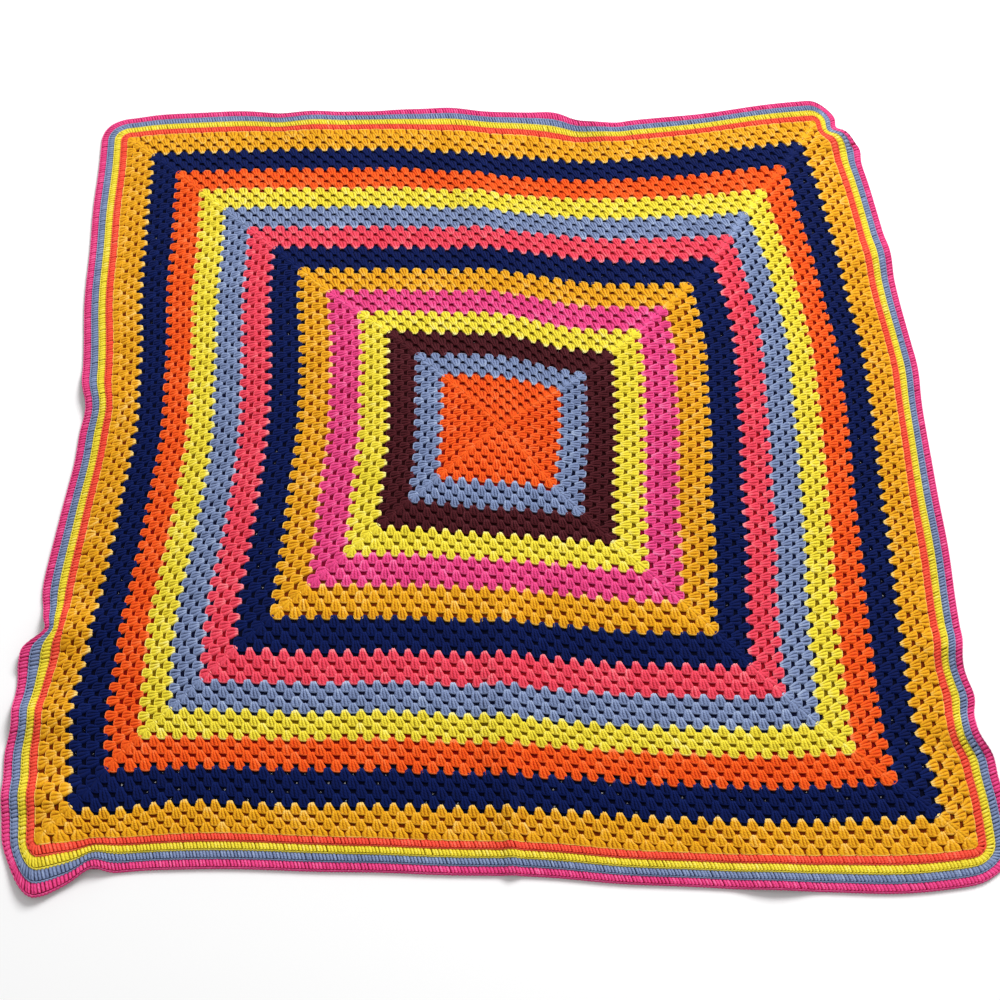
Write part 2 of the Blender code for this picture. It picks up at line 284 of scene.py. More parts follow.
# One post of a border round in millimetres, and the chain along the round's outer edge. The post's tone is
# lower at both ends, a painted shade, and the chain's tone above 1 is a painted highlight along its crest
BORDER_POST_COLUMNS = ("out", "width", "top", "tone")
BORDER_POST = (
    (-0.6, 3.6, 3.2, 0.80),
    (1.2, 4.1, 4.3, 0.96),
    (4.4, 4.3, 4.8, 1.00),
    (8.0, 4.1, 4.4, 0.84),
)
BORDER_LEAN = 3.4
BORDER_CHAIN_OUT = 9.1
BORDER_CHAIN_WIDTH = 2.9
BORDER_CHAIN_TOP = 5.1
BORDER_CHAIN_HIGHLIGHT_TONE = 1.25

# How much narrower, lower, darker and less far out that chain is between two stitches than on one; the
# darkening is painted shade
BORDER_CHAIN_NECK = 0.86
BORDER_CHAIN_SWELL = 0.2
BORDER_CHAIN_DIP = 0.5
BORDER_CHAIN_NECK_SHADE = 0.2
BORDER_CHAIN_BULGE = 0.25

# How much the stitches differ from each other, in millimetres or, for size, width, tone and swell, as a
# share, and how far along the yarn its twist may start
CLUSTER_SPREAD = {"shift": 0.35, "reach": 0.25, "size": 0.04, "tone": 0.05}
POST_SPREAD = {"offset": 0.2, "width": 0.05, "top": 0.2, "tone": 0.06}
CHAIN_SPREAD = {"width": 0.08, "top": 0.15}
BORDER_SPREAD = {"run": 0.25, "width": 0.06, "top": 0.2, "tone": 0.08, "swell": 0.12}
YARN_START = 20

# Cross-sections, from one flank to the other: place across in half widths, height from low to top, and
# how much darker it is than the crest where the groove beside it is deepest, as painted shade
SECTION_COLUMNS = ("across", "height", "shade")
MIDDLE_POST = ((-1.0, 0.45, 0.75), (-0.45, 1.0, 0.0), (0.45, 1.0, 0.0), (1.0, 0.45, 0.75))
LEFT_POST = ((-1.0, 0.0, 0.2), (-0.6, 0.9, 0.0), (0.45, 1.0, 0.0), (1.0, 0.45, 0.75))
RIGHT_POST = ((-1.0, 0.45, 0.75), (-0.45, 1.0, 0.0), (0.6, 0.9, 0.0), (1.0, 0.0, 0.2))
BORDER_SECTION = ((-1.0, 0.45, 0.6), (-0.45, 1.0, 0.0), (0.45, 1.0, 0.0), (1.0, 0.45, 0.6))
JOINT_SECTION = ((-1.0, 0.2, 0.2), (-0.4, 1.0, 0.0), (0.4, 1.0, 0.0), (1.0, 0.2, 0.2))
CHAIN_SECTION = ((-1.0, 0.0, 0.4), (0.0, 1.0, 0.0), (1.0, 0.0, 0.4))

# How clusters keep off the square's diagonals, and how they spread at its corners and in the last round
NEAREST_TO_MIDDLE = 0.3
CORNER_GAP_AT_FOOT = 1.2
CORNER_GAP_AT_HEAD = 3.0
CORNER_SPREAD = 1.0
CORNER_FOOT_SHARE = 0.5
LAST_ROUND_SPREAD = 0.34
LAST_CHAIN_OUT = 9.0

# A thin dark sheet under the stitches, painted with the shade seen through the holes, in millimetres, but
# SHADE_SHEET_SHIFT in metres: how far its grid lines lie outside each round's foot. It has finer lines
# through the sharp folds.
SHADE_SHEET_TOP = 1.6
SHADE_SHEET_INSET = 1.5
SHADE_SHEET_SHIFT = 0.005
FINE_COLUMNS = ("first_line", "last_line", "step")
FINE_ACROSS = ((-20, 60, 5), (545, 566, 20))
FINE_ALONG = ((-390, -260, 5), (485, 506, 20))

# Pinholes through the dark sheet where the yarn is thin, in millimetres. They come in patches, whose size
# is in metres to a radian. They keep off the corners and out of narrow cells, both counted in rounds.
PINHOLE_COLUMNS = ("yarn", "share_of_cells", "half_size")
PINHOLES = (("navy", 0.9, 1.15), ("maroon", 0.15, 1.0))
PINHOLE_OUT = 2.7
PINHOLE_SMALLEST = 0.6
PINHOLE_PATCH = 0.12
PATCH_MIDDLE = 0.55
PATCH_SWING = 0.6
PATCH_START_ACROSS = 2.2
PATCH_START_ALONG = 1.0
PINHOLE_OFF_CORNER = 3
PINHOLE_CELL = 1.9

# The yarn's looks. The fleck and the blotches are counted to a metre, the twist to a millimetre of yarn,
# and the depth of the relief is in metres.
YARN_ROUGHNESS = 0.88
YARN_SPECULAR = 0.12
YARN_SHEEN = 0.05
YARN_SHEEN_ROUGHNESS = 0.5
FLECK_SCALE = 520.0
FLECK_DETAIL = 2.0
FLECK_SHARE = 0.5
BLOTCH_SCALE = 14.0
BLOTCH_SHARE = 0.3
# The tone at which a post's or chain's rim colour, a painted highlight, is reached in full
RIM_HIGHLIGHT_TONE = 1.6
TWIST_DEGREES = 38
TWIST_SCALE = 0.12
TWIST_DISTORTION = 1.2
TWIST_SHARE = 0.6
RELIEF_STRENGTH = 0.6
RELIEF_DEPTH = 0.0006
SHADE_ROUGHNESS = 0.95
SHADE_SPECULAR = 0.1
SHADE_FLECK_SCALE = 260.0
SHADE_DARKEST = 0.6

# The camera in the cloth's own frame before it is centred: its place in metres, its tilt in degrees, its
# yaw and roll in radians, and its lens and sensor in millimetres
CAMERA_PLACE = (-0.060, -0.920, 1.536)
CAMERA_TILT = 62.0
CAMERA_YAW = 0.079
CAMERA_ROLL = 0.074
CAMERA_LENS = 45.0
CAMERA_SENSOR = 36.0

# One large soft light, an even pale sky and a white floor, in metres and watts
KEY_PLACE = (1.7, 2.9, 3.2)
KEY_SIZE = 1.9
KEY_POWER = 236.0
SKY_STRENGTH = 0.46
FLOOR_SIZE = 12.0
FLOOR_COLOUR = (1.0, 1.0, 1.0, 1.0)
FLOOR_ROUGHNESS = 0.9

random = np.random.default_rng(SEED)


def rows_of(columns, rows):
    """A table's rows as dictionaries, by the names of its columns."""
    return [dict(zip(columns, row)) for row in rows]


def column(columns, rows, name):
    """One column of a table."""
    return np.array([row[name] for row in rows_of(columns, rows)])


def linear(colour):
    """A colour given from 0 to 255 as screens show it, as the light that Blender works in."""
    parts = [part / 255 for part in colour]
    return tuple(p / 12.92 if p <= 0.04045 else ((p + 0.055) / 1.055) ** 2.4 for p in parts) + (1.0,)


def corner_radius(reach):
    """The radius of the rounded corners of the round at this reach."""
    beyond_granny = np.maximum(0.0, reach - GRANNY_HALF)
    return np.minimum(CORNER_SHARE_OF_ROUND * reach, GRANNY_CORNER_RADIUS + beyond_granny)


def half_side(reach):
    """Half the length of one side of the round at this reach, up to the middle of its corner's arc."""
    return reach - corner_radius(reach) * (1 - math.pi / 4)


def round_corners(across, along):
    """Places on a square with sharp corners, moved so that each round's corners are rounded."""
    reach = np.maximum(np.abs(across), np.abs(along))
    faces_x = np.abs(across) >= np.abs(along)
    beside = np.where(faces_x, along, across)
    radius = corner_radius(reach)
    straight = reach - radius
    run = np.abs(beside) / np.maximum(reach, TINY) * half_side(reach)
    turn = np.maximum(0.0, run - straight) / np.maximum(radius, TINY)
    on_straight = run <= straight
    out = np.where(on_straight, reach, straight + radius * np.cos(turn))
    side = np.where(on_straight, run, straight + radius * np.sin(turn)) * np.sign(beside)
    return (
        np.where(faces_x, out * np.sign(across), side),
        np.where(faces_x, side, out * np.sign(along)),
    )


def pulled(x, y):
    """Places on the square cloth, moved by the pulls."""
    shift_x = np.zeros_like(x)
    shift_y = np.zeros_like(y)
    for pull in rows_of(PULL_COLUMNS, PULLS):
        off_x = (x / MM - pull["x"]) / pull["reach_x"]
        off_y = (y / MM - pull["y"]) / pull["reach_y"]
        strength = np.exp(-(off_x**2 + off_y**2) / 2)
        shift_x += pull["shift_x"] * MM * strength
        shift_y += pull["shift_y"] * MM * strength
    return x + shift_x, y + shift_y


def lift(x, y):
    """How high the folds lift the cloth at these places."""
    height = np.zeros_like(x)
    for fold in rows_of(FOLD_COLUMNS, FOLDS):
        heading = math.radians(fold["heading"])
        off_x = x / MM - fold["x"]
        off_y = y / MM - fold["y"]
        lengthwise = (off_x * math.cos(heading) + off_y * math.sin(heading)) / fold["half_length"]
        crosswise = (off_y * math.cos(heading) - off_x * math.sin(heading)) / fold["half_width"]
        inside = (np.abs(lengthwise) < 1) & (np.abs(crosswise) < 1)
        crest = np.cos(math.pi / 2 * lengthwise) ** 2 * np.cos(math.pi / 2 * crosswise) ** 2
        height += np.where(inside, fold["height"] * MM * crest, 0.0)
    return height


def part_centre():
    """The middle of the outline before the part was centred, found on the part's own grid."""
    granny = np.linspace(-GRANNY_HALF, GRANNY_HALF, GRANNY_CELLS + 1)
    border = np.linspace(GRANNY_HALF, CLOTH_HALF, BORDER_ROUNDS * STEPS_IN_BORDER_ROUND + 1)[1:]
    lines = np.concatenate([-border[::-1], granny, border])
    across, along = np.meshgrid(lines, lines, indexing="ij")
    x, y = pulled(*round_corners(across, along))
    return (x.min() + x.max()) / 2, (y.min() + y.max()) / 2


CENTRE_X, CENTRE_Y = part_centre()


def wander(waves, here, beside):
    """How far places move in one direction, in millimetres, by the two waves in that direction."""
    wave = dict(zip(WANDER_COLUMNS, waves))
    bend = wave["bend"] * np.sin(beside / wave["bend_length"] + wave["bend_start"])
    short = SHORT_WANDER * np.sin(beside / wave["short"] + wave["short_start"])
    return LONG_WANDER * np.sin(here / wave["long"] + bend) + short


def uneven(x, y):
    """Places moved by the small wander of hand-worked rows."""
    return x + wander(WANDER_X, x, y) * MM, y + wander(WANDER_Y, y, x) * MM


def laid(across, along, height):
    """Places on the finished square, at a height in the cloth, as points where it lies on the floor."""
    x, y = pulled(*round_corners(across, along))
    under = lift(x, y)
    x, y = uneven(x, y)
    return np.stack([x - CENTRE_X, y - CENTRE_Y, under + height], axis=-1)


def on_side(side, beside, out):
    """Places beside the middle of a side and out from the centre, as places on the square."""
    turn_cos = np.array([1, 0, -1, 0])[side]
    turn_sin = np.array([0, 1, 0, -1])[side]
    return out * turn_cos - beside * turn_sin, out * turn_sin + beside * turn_cos


def sweep(side, beside, out, width, top, low, tone, section, groove=1.0):
    """Ridges along paths on the sides of the square, in millimetres: one row a path, one column a step.

    Returns their points, tones and texture places, each with one more axis for the cross-section."""
    step_beside = np.gradient(beside, axis=1)
    step_out = np.gradient(out, axis=1)
    step = np.maximum(np.hypot(step_beside, step_out), TINY)
    across = column(SECTION_COLUMNS, section, "across")
    rise = column(SECTION_COLUMNS, section, "height")
    shade = column(SECTION_COLUMNS, section, "shade")
    sideways = across * width[..., None] / 2
    ridge_beside = beside[..., None] + sideways * (step_out / step)[..., None]
    ridge_out = out[..., None] - sideways * (step_beside / step)[..., None]
    height = low + (top[..., None] - low) * rise
    whole_side = np.broadcast_to(side[:, None, None], ridge_beside.shape)
    points = laid(*on_side(whole_side, ridge_beside * MM, ridge_out * MM), height * MM)
    # Tones fall towards the grooves: painted shade
    tones = tone[..., None] * (1 - shade * np.expand_dims(groove, -1))
    along_yarn = np.cumsum(step, axis=1)[..., None] + random.uniform(0, YARN_START, (len(beside), 1, 1))
    places = np.stack(np.broadcast_arrays(along_yarn, sideways), axis=-1)
    return points, tones, places


def quads_of(points, first):
    """The quads between neighbouring points of each ridge, for points numbered from first."""
    ridges, steps, corners = points.shape[:3]
    number = np.arange(ridges * steps * corners).reshape(ridges, steps, corners) + first
    quads = np.stack(
        [number[:, :-1, :-1], number[:, 1:, :-1], number[:, 1:, 1:], number[:, :-1, 1:]], axis=-1
    )
    return quads.reshape(-1, 4)


def mesh_of(name, sweeps):
    """One smooth mesh of all the ridges, with their tones and texture places."""
    points, tones, places, quads = [], [], [], []
    first = 0
    for swept_points, swept_tones, swept_places in sweeps:
        quads.append(quads_of(swept_points, first))
        points.append(swept_points.reshape(-1, 3))
        tones.append(swept_tones.reshape(-1))
        places.append(swept_places.reshape(-1, 2))
        first += len(points[-1])
    points = np.concatenate(points)
    quads = np.concatenate(quads)
    data = bpy.data.meshes.new(name)
    data.vertices.add(len(points))
    data.vertices.foreach_set("co", points.reshape(-1).astype(np.float32))
    data.loops.add(quads.size)
    data.loops.foreach_set("vertex_index", quads.reshape(-1).astype(np.int32))
    data.polygons.add(len(quads))
    data.polygons.foreach_set("loop_start", np.arange(0, quads.size, 4, dtype=np.int32))
    data.update(calc_edges=True)
    data.validate()
    # The tone carries painted shade and highlights as well as each stitch's own small differences
    tone = data.attributes.new("tone", "FLOAT", "POINT")
    tone.data.foreach_set("value", np.concatenate(tones).astype(np.float32))
    texture = data.uv_layers.new(name="yarn")
    texture.data.foreach_set("uv", np.concatenate(places)[quads.reshape(-1)].reshape(-1).astype(np.float32))
    data.shade_smooth()
    return data


def add_piece(data, material):
    """A mesh as a visible piece of the part. The shade sheet brings its own materials, so it gets none."""
    piece = bpy.data.objects.new(data.name, data)
    bpy.context.scene.collection.objects.link(piece)
    if material:
        data.materials.append(material)
    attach(piece, "root")
    return piece


def clusters_of(first_round, last_round):
    """The side, round and place along the side of each cluster, the place in pitches from its middle."""
    rows = [
        (side, number, i - (number - 1) / 2)
        for number in range(first_round, last_round + 1)
        for side in range(SIDES)
        for i in range(number)
    ]
    side, number, place = np.array(rows).T
    return side.astype(int), number, place


def kept_off_corner(beside, out, gap):
    """Places beside the middle drawn back from the diagonal, so that two sides' stitches meet there."""
    limit = np.maximum(out - gap, NEAREST_TO_MIDDLE)
    return np.clip(beside, -limit, limit)


def cluster_paths(side, number, place, offset, out):
    """Paths, given beside and out from the foot of each cluster, as paths on the sides of the square."""
    at_corner = np.abs(place) > (number - 1) / 2 - 0.5
    corner_sign = np.where(at_corner, np.sign(place), 0)[:, None]
    foot = np.where(at_corner[:, None] & (out < 0), out * CORNER_FOOT_SHARE, out)
    whole_out = (number[:, None] - 1) * GRANNY_ROUND_HEIGHT / MM + foot
    whole_out = np.maximum(whole_out, LEAST_OUT)
    beside = place[:, None] * CLUSTER_PITCH / MM + offset
    beside = beside + POST_LEAN * (out / ROUND - 0.5)
    beside = beside + corner_sign * CORNER_SPREAD * np.maximum(out, 0) / ROUND
    head = np.clip(out / ROUND, 0, 1)
    gap = CORNER_GAP_AT_FOOT + (CORNER_GAP_AT_HEAD - CORNER_GAP_AT_FOOT) * head
    return kept_off_corner(beside, whole_out, gap), whole_out


def cluster_sweeps(first_round, last_round):
    """A band's clusters, each of three posts and a chain, the yarn between them and its corner chains."""
    side, number, place = clusters_of(first_round, last_round)
    count = len(side)
    shift = random.normal(0, CLUSTER_SPREAD["shift"], (count, 1))
    reach = random.normal(0, CLUSTER_SPREAD["reach"], (count, 1))
    size = random.normal(1, CLUSTER_SPREAD["size"], (count, 1))
    brightness = random.normal(1, CLUSTER_SPREAD["tone"], (count, 1))
    groove = column(POST_COLUMNS, POST, "groove")
    open_head = LAST_ROUND_SPREAD * (number[:, None] == GRANNY_ROUNDS)
    sweeps = []
    for post, section in ((-1, LEFT_POST), (0, MIDDLE_POST), (1, RIGHT_POST)):
        out = column(POST_COLUMNS, POST, "side_out" if post else "out") + reach
        spread = size * (1 + open_head * np.clip(out / (ROUND / 2), 0, 1))
        offset = post * column(POST_COLUMNS, POST, "side_offset") * spread + shift
        offset = offset + random.normal(0, POST_SPREAD["offset"], (count, 1))
        path = cluster_paths(side, number, place, offset, out)
        width = column(POST_COLUMNS, POST, "width") * spread
        width = width * random.normal(1, POST_SPREAD["width"], (count, 1))
        top = column(POST_COLUMNS, POST, "top") + random.normal(0, POST_SPREAD["top"], (count, 1))
        tone = column(POST_COLUMNS, POST, "tone") * brightness
        tone = tone * random.normal(1, POST_SPREAD["tone"], (count, 1))
        # The first round's feet are lightened: a painted highlight on their rims
        tone[:, :FOOT_STEPS] += FIRST_FOOT_HIGHLIGHT * (number[:, None] == first_round)
        sweeps.append(sweep(side, *path, width, top, POST_LOW, tone, section, groove))
    out = column(CHAIN_COLUMNS, CHAIN, "out") + reach
    # In the last granny round the chains lie nearly in one line along the border
    out = np.where(open_head > 0, (out + 2 * LAST_CHAIN_OUT) / 3, out)
    offset = column(CHAIN_COLUMNS, CHAIN, "across") * size * (1 + open_head) + shift
    path = cluster_paths(side, number, place, offset, out)
    each_step = (count, len(CHAIN))
    width = column(CHAIN_COLUMNS, CHAIN, "width") * random.normal(1, CHAIN_SPREAD["width"], each_step)
    top = column(CHAIN_COLUMNS, CHAIN, "top") + random.normal(0, CHAIN_SPREAD["top"], each_step)
    # The chain's tone above 1, more in a band's last round, is a painted highlight
    tone = CHAIN_HIGHLIGHT_TONE * brightness + LAST_CHAIN_HIGHLIGHT * (number[:, None] == last_round)
    tone = tone + np.zeros(each_step)
    sweeps.append(sweep(side, *path, width, top, CHAIN_LOW, tone, CHAIN_SECTION))
    sweeps.append(joints_between(side, number, place, last_round))
    sweeps.append(corner_chains(first_round, last_round))
    return sweeps


def joints_between(side, number, place, last_round):
    """The yarn that joins each cluster's head to the next one's, but not in the last round of a band."""
    joined = (number < last_round) & (place < (number - 1) / 2)
    side, number, place = side[joined], number[joined], place[joined]
    out = column(JOINT_COLUMNS, JOINT, "out") + np.zeros((len(side), 1))
    path = cluster_paths(side, number, place, CLUSTER_PITCH / MM / 2, out)
    width = 2 * column(JOINT_COLUMNS, JOINT, "across") + np.zeros(out.shape)
    top = column(JOINT_COLUMNS, JOINT, "top") + np.zeros(out.shape)
    tone = column(JOINT_COLUMNS, JOINT, "tone") + np.zeros(out.shape)
    return sweep(side, *path, width, top, POST_LOW, tone, JOINT_SECTION)


def corner_chains(first_round, last_round):
    """The short chain that turns each corner of a granny round."""
    number = np.arange(first_round, last_round + 1)
    side = np.repeat(np.arange(SIDES), len(number))
    corner = np.tile(number * GRANNY_ROUND_HEIGHT / MM, SIDES)[:, None]
    beside = corner - column(CORNER_CHAIN_COLUMNS, CORNER_CHAIN, "beside")
    out = corner - column(CORNER_CHAIN_COLUMNS, CORNER_CHAIN, "out")
    width = np.full(beside.shape, CORNER_CHAIN_WIDTH)
    top = np.full(beside.shape, CORNER_CHAIN_TOP)
    tone = np.full(beside.shape, CORNER_CHAIN_TONE)
    return sweep(side, beside, out, width, top, CHAIN_LOW, tone, CHAIN_SECTION)


def border_place(run, out, corner_run):
    """Places at a run from the middle of the side, moved to another reach square to the border's edge."""
    straight = BORDER_STRAIGHT / MM
    turn = np.maximum(0, np.abs(run) - straight) / corner_run * math.pi / 4
    true_run = np.minimum(np.abs(run), straight) + turn * (out - straight)
    return np.sign(run) * true_run / (half_side(out * MM) / MM) * out


def edging_sweeps(number):
    """The posts and the chain of one border round, counted from 0."""
    base = (GRANNY_HALF + number * BORDER_ROUND_HEIGHT) / MM
    middle = base + BORDER_ROUND_HEIGHT / MM / 2
    corner_run = (middle - BORDER_STRAIGHT / MM) * math.pi / 4
    half_run = BORDER_STRAIGHT / MM + corner_run
    per_side = round(2 * half_run / (BORDER_STITCH_PITCH / MM))
    pitch = 2 * half_run / per_side
    side = np.repeat(np.arange(SIDES), per_side)
    run = np.tile((np.arange(per_side) + 0.5) * pitch - half_run, SIDES)[:, None]
    count = len(side)
    out = column(BORDER_POST_COLUMNS, BORDER_POST, "out") + np.zeros((count, 1))
    lean = BORDER_LEAN * (out / ROUND - 0.5)
    run = run + lean + random.normal(0, BORDER_SPREAD["run"], (count, 1))
    beside = border_place(run, base + out, corner_run)
    post = {name: column(BORDER_POST_COLUMNS, BORDER_POST, name) for name in BORDER_POST_COLUMNS}
    width = post["width"] * random.normal(1, BORDER_SPREAD["width"], (count, 1))
    top = post["top"] + random.normal(0, BORDER_SPREAD["top"], (count, 1))
    tone = post["tone"] * random.normal(1, BORDER_SPREAD["tone"], (count, 1))
    posts = sweep(side, beside, base + out, width, top, POST_LOW, tone, BORDER_SECTION)
    steps = 2 * per_side + 1
    run = np.linspace(-half_run, half_run, steps)[None, :] + np.zeros((SIDES, 1))
    swell = np.where(np.arange(steps) % 2, 1.0, 0.0)
    swell = swell + random.normal(0, BORDER_SPREAD["swell"], (SIDES, steps))
    swell[:, [0, -1]] = 0.0
    out = base + BORDER_CHAIN_OUT + BORDER_CHAIN_BULGE * swell
    out[:, [0, -1]] = base + BORDER_CHAIN_OUT
    beside = border_place(run, out, corner_run)
    width = BORDER_CHAIN_WIDTH * (BORDER_CHAIN_NECK + BORDER_CHAIN_SWELL * swell)
    top = BORDER_CHAIN_TOP - BORDER_CHAIN_DIP + BORDER_CHAIN_DIP * swell
    tone = BORDER_CHAIN_HIGHLIGHT_TONE - BORDER_CHAIN_NECK_SHADE + BORDER_CHAIN_NECK_SHADE * swell
    chain = sweep(np.arange(SIDES), beside, out, width, top, POST_LOW, tone, CHAIN_SECTION)
    return [posts, chain]


def band_yarn(number):
    """The yarn of the band that this granny round is in."""
    for band in rows_of(BAND_COLUMNS, BANDS):
        if min(number, GRANNY_ROUNDS) <= band["last_round"]:
            return band["yarn"]


def hole_shade_yarn(reach):
    """The yarn whose painted hole shade shows at this reach: where two bands meet, the darker of the two.
    """
    if reach > GRANNY_HALF:
        border = math.floor((reach - GRANNY_HALF) / BORDER_ROUND_HEIGHT)
        return EDGINGS[min(border, BORDER_ROUNDS - 1)][1]
    number = math.floor((reach - SHADE_SHEET_SHIFT) / GRANNY_ROUND_HEIGHT) + 1
    brightness = {row["yarn"]: sum(row["hole"]) for row in rows_of(YARN_COLUMNS, YARNS)}
    return min(band_yarn(number), band_yarn(number + 1), key=brightness.get)


def shade_sheet_lines(fine):
    """Grid lines of the shade sheet: one to every second round, which takes in the edge of each band,
    and finer ones through the sharp folds."""
    half = [number * GRANNY_ROUND_HEIGHT + SHADE_SHEET_SHIFT for number in range(1, GRANNY_ROUNDS, 2)]
    half += [GRANNY_HALF + number * BORDER_ROUND_HEIGHT for number in range(BORDER_ROUNDS)]
    half.append(CLOTH_HALF - SHADE_SHEET_INSET * MM)
    lines = [-line for line in half] + half
    for row in rows_of(FINE_COLUMNS, fine):
        lines += [line * MM for line in range(row["first_line"], row["last_line"], row["step"])]
    return np.unique(np.round(lines, 6))


def pinhole_in(across, along):
    """The place and half size of the pinhole through the cell around this place, or None."""
    out, other = max(abs(across), abs(along)), min(abs(across), abs(along))
    beside = along if abs(across) > abs(along) else across
    hole_out = out - SHADE_SHEET_SHIFT + PINHOLE_OUT * MM
    pitches = math.floor(beside / CLUSTER_PITCH) + 0.5
    if random.uniform() < 0.5:
        hole_out += GRANNY_ROUND_HEIGHT
        pitches = round(beside / CLUSTER_PITCH)
    yarn = band_yarn(math.floor(hole_out / GRANNY_ROUND_HEIGHT) + 1)
    pinhole = {row["yarn"]: row for row in rows_of(PINHOLE_COLUMNS, PINHOLES)}.get(yarn)
    if not pinhole or out > GRANNY_HALF or out - other < PINHOLE_OFF_CORNER * GRANNY_ROUND_HEIGHT:
        return None
    swing = PATCH_SWING * math.sin(across / PINHOLE_PATCH + PATCH_START_ACROSS)
    patch = PATCH_MIDDLE + swing * math.sin(along / PINHOLE_PATCH + PATCH_START_ALONG)
    if random.uniform() > pinhole["share_of_cells"] * patch:
        return None
    half_size = pinhole["half_size"] * MM * random.uniform(PINHOLE_SMALLEST, 1.0)
    hole_beside = pitches * CLUSTER_PITCH + random.uniform(-1, 1) * MM
    if abs(across) > abs(along):
        return np.sign(across) * hole_out, hole_beside, half_size
    return hole_beside, np.sign(along) * hole_out, half_size


def make_shade_sheet(materials):
    """A thin sheet under the stitches, closed but for its pinholes, painted with the dark shade that shows
    between them.
    """
    lines_across, lines_along = shade_sheet_lines(FINE_ACROSS), shade_sheet_lines(FINE_ALONG)
    count = len(lines_along)
    names = list(materials)
    grids = np.meshgrid(lines_across, lines_along, indexing="ij")
    across, along = [list(grid.reshape(-1)) for grid in grids]
    top_quads, walls, index, wall_index = [], [], [], []
    for i in range(len(lines_across) - 1):
        for j in range(count - 1):
            cell = [i * count + j, (i + 1) * count + j, (i + 1) * count + j + 1, i * count + j + 1]
            middle_across = (lines_across[i] + lines_across[i + 1]) / 2
            middle_along = (lines_along[j] + lines_along[j + 1]) / 2
            narrowest = min(lines_across[i + 1] - lines_across[i], lines_along[j + 1] - lines_along[j])
            cell_index = names.index(hole_shade_yarn(max(abs(middle_across), abs(middle_along))))
            pinhole = pinhole_in(middle_across, middle_along)
            if not pinhole or narrowest < PINHOLE_CELL * GRANNY_ROUND_HEIGHT:
                top_quads.append(cell)
                index.append(cell_index)
                continue
            first = len(across)
            for corner_across, corner_along in ((-1, -1), (1, -1), (1, 1), (-1, 1)):
                across.append(pinhole[0] + corner_across * pinhole[2])
                along.append(pinhole[1] + corner_along * pinhole[2])
            for here in range(4):
                following = (here + 1) % 4
                top_quads.append([cell[here], cell[following], first + following, first + here])
                walls.append([first + here, first + following])
                index.append(cell_index)
                wall_index.append(cell_index)
    number = np.arange(len(lines_across) * count).reshape(-1, count)
    rim = list(number[:-1, 0]) + list(number[-1, :-1]) + list(number[:0:-1, -1]) + list(number[0, :0:-1])
    for here, following in zip(rim, rim[1:] + rim[:1]):
        walls.append([following, here])
        wall_index.append(names.index(EDGINGS[-1][1]))
    across, along = np.array(across), np.array(along)
    over = laid(across, along, np.full(across.shape, SHADE_SHEET_TOP * MM))
    under = laid(across, along, np.zeros(across.shape))
    beneath = len(across)
    under_quads = [[corner + beneath for corner in reversed(quad)] for quad in top_quads]
    wall_quads = [[here, following, following + beneath, here + beneath] for here, following in walls]
    data = bpy.data.meshes.new("hole_shade_sheet")
    quads = [[int(corner) for corner in quad] for quad in top_quads + under_quads + wall_quads]
    data.from_pydata(over.tolist() + under.tolist(), [], quads)
    data.shade_smooth()
    for name in names:
        data.materials.append(materials[name])
    data.polygons.foreach_set("material_index", np.array(index + index + wall_index, dtype=np.int32))
    data.validate()
    return add_piece(data, None)


def node(tree, kind, place, **settings):
    """A new node of a material."""
    made = tree.nodes.new(kind)
    made.location = place
    for name, value in settings.items():
        setattr(made, name, value)
    return made


